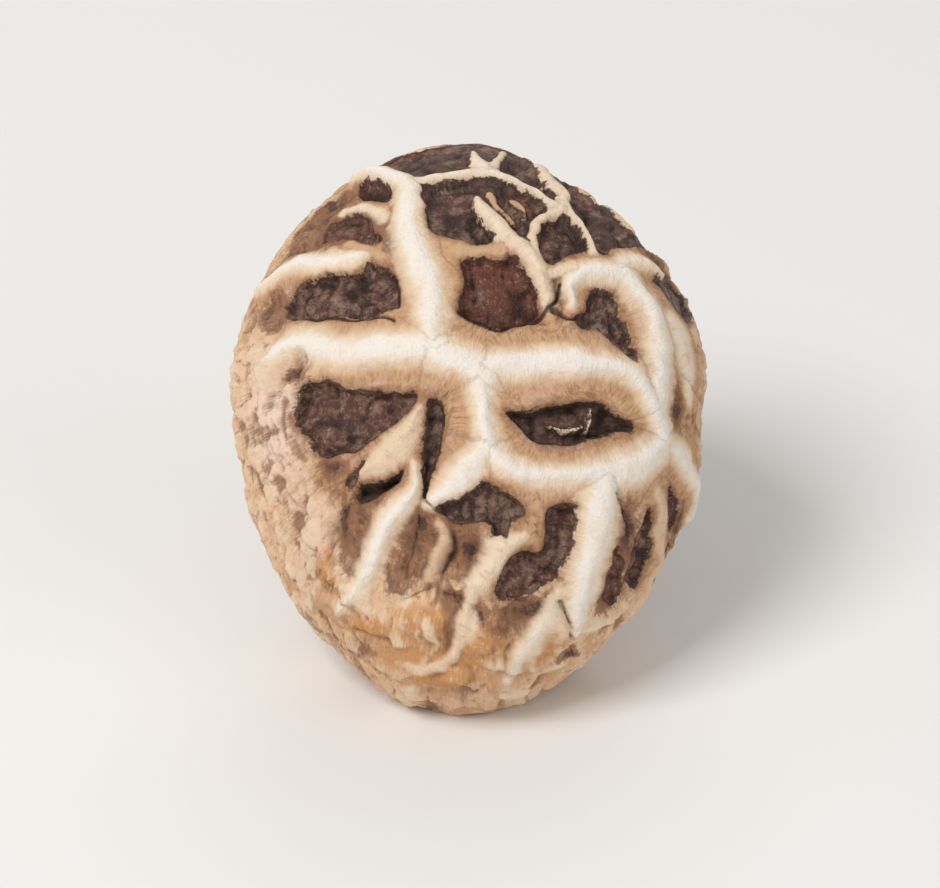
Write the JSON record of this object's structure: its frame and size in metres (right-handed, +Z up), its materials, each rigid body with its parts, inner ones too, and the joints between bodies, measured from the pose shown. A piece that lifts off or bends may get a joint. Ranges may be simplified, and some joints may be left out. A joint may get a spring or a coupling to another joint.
{
  "type": "dried shiitake mushroom",
  "caption": "Dried shiitake with a thick domed cap, its dark skin cracked into scales between pale raised ribs, an inrolled margin, gills beneath and a short bent stem.",
  "frame": {"origin": "on the surface the mushroom lies on, under the middle of its overall box", "axes": "+Z up from that surface; -Y is the side the crown faces, 45 degrees above the horizon; +X to the right of someone who looks at the crown"},
  "size_m": [0.0442, 0.044, 0.0436],
  "materials": {
    "flesh": "dry and matt: pale cracked ribs between dark brown leathery scales"
  },
  "bodies": {
    "root": {"mushroom": "flesh"}
  },
  "joints": []
}
